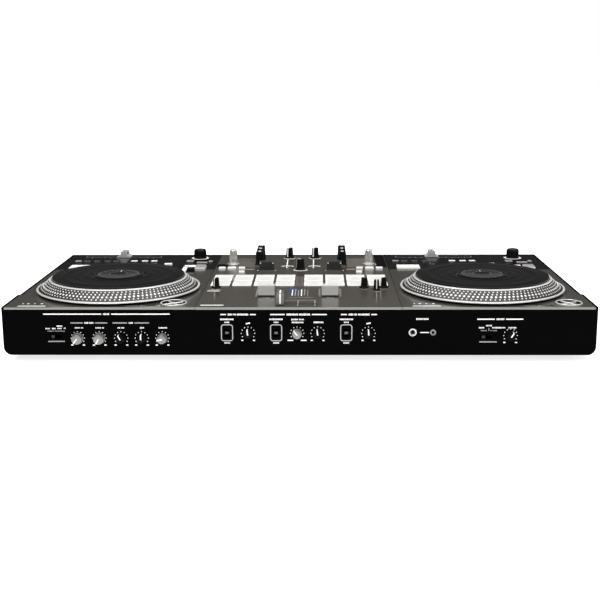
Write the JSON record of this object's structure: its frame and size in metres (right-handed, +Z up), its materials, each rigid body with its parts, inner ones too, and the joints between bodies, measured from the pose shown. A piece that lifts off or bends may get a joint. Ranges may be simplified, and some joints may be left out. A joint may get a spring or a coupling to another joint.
{
  "type": "dj controller",
  "caption": "Two-deck dj controller: motor-driven jog platters with control records and round displays either side of a two-channel mixer with performance pads, knobs and faders.",
  "frame": {"origin": "on the table, under the middle of the case", "axes": "+X to the right along the width, +Y to the back, +Z up; front knobs point to -Y"},
  "size_m": [0.773, 0.414, 0.098],
  "materials": {
    "case_black": "fine satin texture",
    "steel_black": "powder coat",
    "plate_grey": "semi-gloss metallic paint",
    "strip_gloss": "glossy",
    "panel_black": "satin paint",
    "feet_rubber": "matte",
    "screw_steel": "blackened",
    "board_green": "solder mask",
    "supply_metal": "plain sheet",
    "motor_steel": "machined",
    "display_glass": "glossy cover over a dark display",
    "socket_metal": "plated",
    "platter_metal": "satin with polished rims",
    "record_vinyl": "glossy with fine grooves",
    "silver_cap": "satin silver",
    "knob_black": "satin",
    "key_grey": "satin",
    "pad_white": "translucent silicone",
    "key_white": "satin",
    "fader_grey": "satin",
    "switch_dark": "matte",
    "rocker_black": "glossy"
  },
  "bodies": {
    "chassis": {"case_shell": "case_black", "bottom_tray": "steel_black", "deck_plates": "plate_grey", "mixer_plate": "plate_grey", "control_strips": "strip_gloss", "rear_panel": "panel_black", "rubber_feet": "feet_rubber", "case_screws": "screw_steel", "main_boards": "board_green", "power_supply": "supply_metal", "platter_motors": "motor_steel", "jog_displays": "display_glass", "io_sockets": "socket_metal"},
    "platter_left": {"platter_left": "platter_metal"},
    "platter_right": {"platter_right": "platter_metal"},
    "record_left": {"record_left": "record_vinyl"},
    "record_right": {"record_right": "record_vinyl"},
    "tempo_cap_left": {"tempo_cap_left": "silver_cap"},
    "tempo_cap_right": {"tempo_cap_right": "silver_cap"},
    "loop_knob_left": {"loop_knob_left": "knob_black"},
    "loop_knob_right": {"loop_knob_right": "knob_black"},
    "start_button_left": {"start_button_left": "silver_cap"},
    "start_button_right": {"start_button_right": "silver_cap"},
    "deck_buttons": {"deck_buttons": "key_grey"},
    "pads_left": {"pads_left": "pad_white"},
    "pads_right": {"pads_right": "pad_white"},
    "mixer_buttons": {"mixer_buttons": "key_white"},
    "browse_knob_left": {"browse_knob_left": "silver_cap"},
    "browse_knob_right": {"browse_knob_right": "silver_cap"},
    "eq_low_left": {"eq_low_left": "knob_black"},
    "eq_mid_left": {"eq_mid_left": "knob_black"},
    "eq_high_left": {"eq_high_left": "knob_black"},
    "eq_low_right": {"eq_low_right": "knob_black"},
    "eq_mid_right": {"eq_mid_right": "knob_black"},
    "eq_high_right": {"eq_high_right": "knob_black"},
    "booth_knob": {"booth_knob": "knob_black"},
    "master_knob": {"master_knob": "knob_black"},
    "cue_mix_knob": {"cue_mix_knob": "knob_black"},
    "fx_lever_left": {"fx_lever_left": "knob_black"},
    "fx_lever_right": {"fx_lever_right": "knob_black"},
    "channel_fader_left": {"channel_fader_left": "fader_grey"},
    "channel_fader_right": {"channel_fader_right": "fader_grey"},
    "crossfader": {"crossfader": "fader_grey"},
    "pad_level_knob": {"pad_level_knob": "knob_black"},
    "phones_mix_knob": {"phones_mix_knob": "knob_black"},
    "phones_level_knob": {"phones_level_knob": "knob_black"},
    "phones_tone_knob": {"phones_tone_knob": "knob_black"},
    "mic1_knob": {"mic1_knob": "silver_cap"},
    "mic2_knob": {"mic2_knob": "silver_cap"},
    "mic_low_knob": {"mic_low_knob": "knob_black"},
    "mic_high_knob": {"mic_high_knob": "knob_black"},
    "echo_knob": {"echo_knob": "silver_cap"},
    "curve1_knob": {"curve1_knob": "knob_black"},
    "feel_knob": {"feel_knob": "silver_cap"},
    "cross_curve_knob": {"cross_curve_knob": "knob_black"},
    "curve2_knob": {"curve2_knob": "knob_black"},
    "aux_knob": {"aux_knob": "knob_black"},
    "reverse_switches": {"reverse_switches": "switch_dark"},
    "select_switches": {"select_switches": "switch_dark"},
    "power_switch": {"power_switch": "rocker_black"}
  },
  "joints": [
    {"name": "platter_left_spin", "type": "hinge", "parent": "chassis", "child": "platter_left", "pos_m": [-0.2543, -0.0793, 0.091], "axis": [0, 0, 1], "continuous": true},
    {"name": "record_left_spin", "type": "hinge", "parent": "platter_left", "child": "record_left", "pos_m": [-0.2543, -0.0793, 0.094], "axis": [0, 0, 1], "continuous": true},
    {"name": "tempo_left_slide", "type": "slide", "parent": "chassis", "child": "tempo_cap_left", "axis": [1, 0, 0], "range_m": [-0.0515, 0.0485]},
    {"name": "loop_left_turn", "type": "hinge", "parent": "chassis", "child": "loop_knob_left", "pos_m": [-0.1669, 0.166, 0.074], "axis": [0, 0, 1], "continuous": true},
    {"name": "start_left_press", "type": "slide", "parent": "chassis", "child": "start_button_left", "axis": [0, 0, -1], "range_m": [0, 0.001], "stiffness_N_per_m": 800, "springref_m": -0.001},
    {"name": "pads_left_press", "type": "slide", "parent": "chassis", "child": "pads_left", "axis": [0, 0, -1], "range_m": [0, 0.001], "stiffness_N_per_m": 3000, "springref_m": -0.001},
    {"name": "browse_left_turn", "type": "hinge", "parent": "chassis", "child": "browse_knob_left", "pos_m": [-0.108, 0.109, 0.074], "axis": [0, 0, 1], "continuous": true},
    {"name": "eq_low_left_turn", "type": "hinge", "parent": "chassis", "child": "eq_low_left", "pos_m": [-0.0663, 0.104, 0.074], "axis": [0, 0, 1], "range_deg": [-150, 150]},
    {"name": "eq_mid_left_turn", "type": "hinge", "parent": "chassis", "child": "eq_mid_left", "pos_m": [-0.0663, 0.1325, 0.074], "axis": [0, 0, 1], "range_deg": [-150, 150]},
    {"name": "eq_high_left_turn", "type": "hinge", "parent": "chassis", "child": "eq_high_left", "pos_m": [-0.0663, 0.161, 0.074], "axis": [0, 0, 1], "range_deg": [-150, 150]},
    {"name": "fx_left_tip", "type": "hinge", "parent": "chassis", "child": "fx_lever_left", "pos_m": [-0.0533, 0.064, 0.072], "axis": [1, 0, 0], "range_deg": [-25, 25], "stiffness_Nm_per_rad": 0.05},
    {"name": "channel_left_slide", "type": "slide", "parent": "chassis", "child": "channel_fader_left", "axis": [0, 1, 0], "range_m": [0, 0.045]},
    {"name": "platter_right_spin", "type": "hinge", "parent": "chassis", "child": "platter_right", "pos_m": [0.2543, -0.0793, 0.091], "axis": [0, 0, 1], "continuous": true},
    {"name": "record_right_spin", "type": "hinge", "parent": "platter_right", "child": "record_right", "pos_m": [0.2543, -0.0793, 0.094], "axis": [0, 0, 1], "continuous": true},
    {"name": "tempo_right_slide", "type": "slide", "parent": "chassis", "child": "tempo_cap_right", "axis": [1, 0, 0], "range_m": [-0.047, 0.053]},
    {"name": "loop_right_turn", "type": "hinge", "parent": "chassis", "child": "loop_knob_right", "pos_m": [0.3417, 0.166, 0.074], "axis": [0, 0, 1], "continuous": true},
    {"name": "start_right_press", "type": "slide", "parent": "chassis", "child": "start_button_right", "axis": [0, 0, -1], "range_m": [0, 0.001], "stiffness_N_per_m": 800, "springref_m": -0.001},
    {"name": "pads_right_press", "type": "slide", "parent": "chassis", "child": "pads_right", "axis": [0, 0, -1], "range_m": [0, 0.001], "stiffness_N_per_m": 3000, "springref_m": -0.001},
    {"name": "browse_right_turn", "type": "hinge", "parent": "chassis", "child": "browse_knob_right", "pos_m": [0.1052, 0.109, 0.074], "axis": [0, 0, 1], "continuous": true},
    {"name": "eq_low_right_turn", "type": "hinge", "parent": "chassis", "child": "eq_low_right", "pos_m": [0.0635, 0.104, 0.074], "axis": [0, 0, 1], "range_deg": [-150, 150]},
    {"name": "eq_mid_right_turn", "type": "hinge", "parent": "chassis", "child": "eq_mid_right", "pos_m": [0.0635, 0.1325, 0.074], "axis": [0, 0, 1], "range_deg": [-150, 150]},
    {"name": "eq_high_right_turn", "type": "hinge", "parent": "chassis", "child": "eq_high_right", "pos_m": [0.0635, 0.161, 0.074], "axis": [0, 0, 1], "range_deg": [-150, 150]},
    {"name": "fx_right_tip", "type": "hinge", "parent": "chassis", "child": "fx_lever_right", "pos_m": [0.0505, 0.064, 0.072], "axis": [1, 0, 0], "range_deg": [-25, 25], "stiffness_Nm_per_rad": 0.05},
    {"name": "channel_right_slide", "type": "slide", "parent": "chassis", "child": "channel_fader_right", "axis": [0, 1, 0], "range_m": [0, 0.045]},
    {"name": "deck_keys_press", "type": "slide", "parent": "chassis", "child": "deck_buttons", "axis": [0, 0, -1], "range_m": [0, 0.001], "stiffness_N_per_m": 3000, "springref_m": -0.001},
    {"name": "mixer_keys_press", "type": "slide", "parent": "chassis", "child": "mixer_buttons", "axis": [0, 0, -1], "range_m": [0, 0.001], "stiffness_N_per_m": 1500, "springref_m": -0.001},
    {"name": "booth_turn", "type": "hinge", "parent": "chassis", "child": "booth_knob", "pos_m": [-0.0208, 0.167, 0.074], "axis": [0, 0, 1], "range_deg": [-298, 2]},
    {"name": "master_turn", "type": "hinge", "parent": "chassis", "child": "master_knob", "pos_m": [0.0208, 0.167, 0.074], "axis": [0, 0, 1], "range_deg": [-298, 2]},
    {"name": "cue_mix_turn", "type": "hinge", "parent": "chassis", "child": "cue_mix_knob", "pos_m": [-0.0014, 0.064, 0.074], "axis": [0, 0, 1], "range_deg": [-220, 80]},
    {"name": "pad_level_turn", "type": "hinge", "parent": "chassis", "child": "pad_level_knob", "pos_m": [-0.1183, -0.0725, 0.074], "axis": [0, 0, 1], "range_deg": [-300, 0]},
    {"name": "phones_mix_turn", "type": "hinge", "parent": "chassis", "child": "phones_mix_knob", "pos_m": [0.0904, -0.0725, 0.074], "axis": [0, 0, 1], "range_deg": [-150, 150]},
    {"name": "phones_level_turn", "type": "hinge", "parent": "chassis", "child": "phones_level_knob", "pos_m": [0.107, -0.0875, 0.074], "axis": [0, 0, 1], "range_deg": [-300, 0]},
    {"name": "phones_tone_turn", "type": "hinge", "parent": "chassis", "child": "phones_tone_knob", "pos_m": [0.1178, -0.071, 0.074], "axis": [0, 0, 1], "range_deg": [-270, 30]},
    {"name": "crossfader_slide", "type": "slide", "parent": "chassis", "child": "crossfader", "axis": [1, 0, 0], "range_m": [0, 0.045]},
    {"name": "mic1_turn", "type": "hinge", "parent": "chassis", "child": "mic1_knob", "pos_m": [-0.2884, -0.198, 0.0328], "axis": [0, -1, 0], "range_deg": [-290, 10]},
    {"name": "mic2_turn", "type": "hinge", "parent": "chassis", "child": "mic2_knob", "pos_m": [-0.26, -0.198, 0.0328], "axis": [0, -1, 0], "range_deg": [-300, 0]},
    {"name": "mic_low_turn", "type": "hinge", "parent": "chassis", "child": "mic_low_knob", "pos_m": [-0.2315, -0.198, 0.0328], "axis": [0, -1, 0], "range_deg": [-180, 120]},
    {"name": "mic_high_turn", "type": "hinge", "parent": "chassis", "child": "mic_high_knob", "pos_m": [-0.2046, -0.198, 0.0328], "axis": [0, -1, 0], "range_deg": [-150, 150]},
    {"name": "echo_turn", "type": "hinge", "parent": "chassis", "child": "echo_knob", "pos_m": [-0.1776, -0.198, 0.0328], "axis": [0, -1, 0], "range_deg": [-248, 52]},
    {"name": "curve1_turn", "type": "hinge", "parent": "chassis", "child": "curve1_knob", "pos_m": [-0.0656, -0.198, 0.0392], "axis": [0, -1, 0], "range_deg": [-158, 142]},
    {"name": "feel_turn", "type": "hinge", "parent": "chassis", "child": "feel_knob", "pos_m": [-0.0018, -0.198, 0.0392], "axis": [0, -1, 0], "range_deg": [-190, 110]},
    {"name": "cross_curve_turn", "type": "hinge", "parent": "chassis", "child": "cross_curve_knob", "pos_m": [0.025, -0.198, 0.0392], "axis": [0, -1, 0], "range_deg": [-157, 143]},
    {"name": "curve2_turn", "type": "hinge", "parent": "chassis", "child": "curve2_knob", "pos_m": [0.091, -0.198, 0.0392], "axis": [0, -1, 0], "range_deg": [-153, 147]},
    {"name": "aux_turn", "type": "hinge", "parent": "chassis", "child": "aux_knob", "pos_m": [0.275, -0.198, 0.0364], "axis": [0, -1, 0], "range_deg": [-119, 181]},
    {"name": "reverse_switch_slide", "type": "slide", "parent": "chassis", "child": "reverse_switches", "axis": [0, 0, 1], "range_m": [-0.003, 0.003]},
    {"name": "select_switch_slide", "type": "slide", "parent": "chassis", "child": "select_switches", "axis": [1, 0, 0], "range_m": [0, 0.007]},
    {"name": "power_rock", "type": "hinge", "parent": "chassis", "child": "power_switch", "pos_m": [0.3, 0.192, 0.042], "axis": [1, 0, 0], "range_deg": [0, 14]}
  ]
}
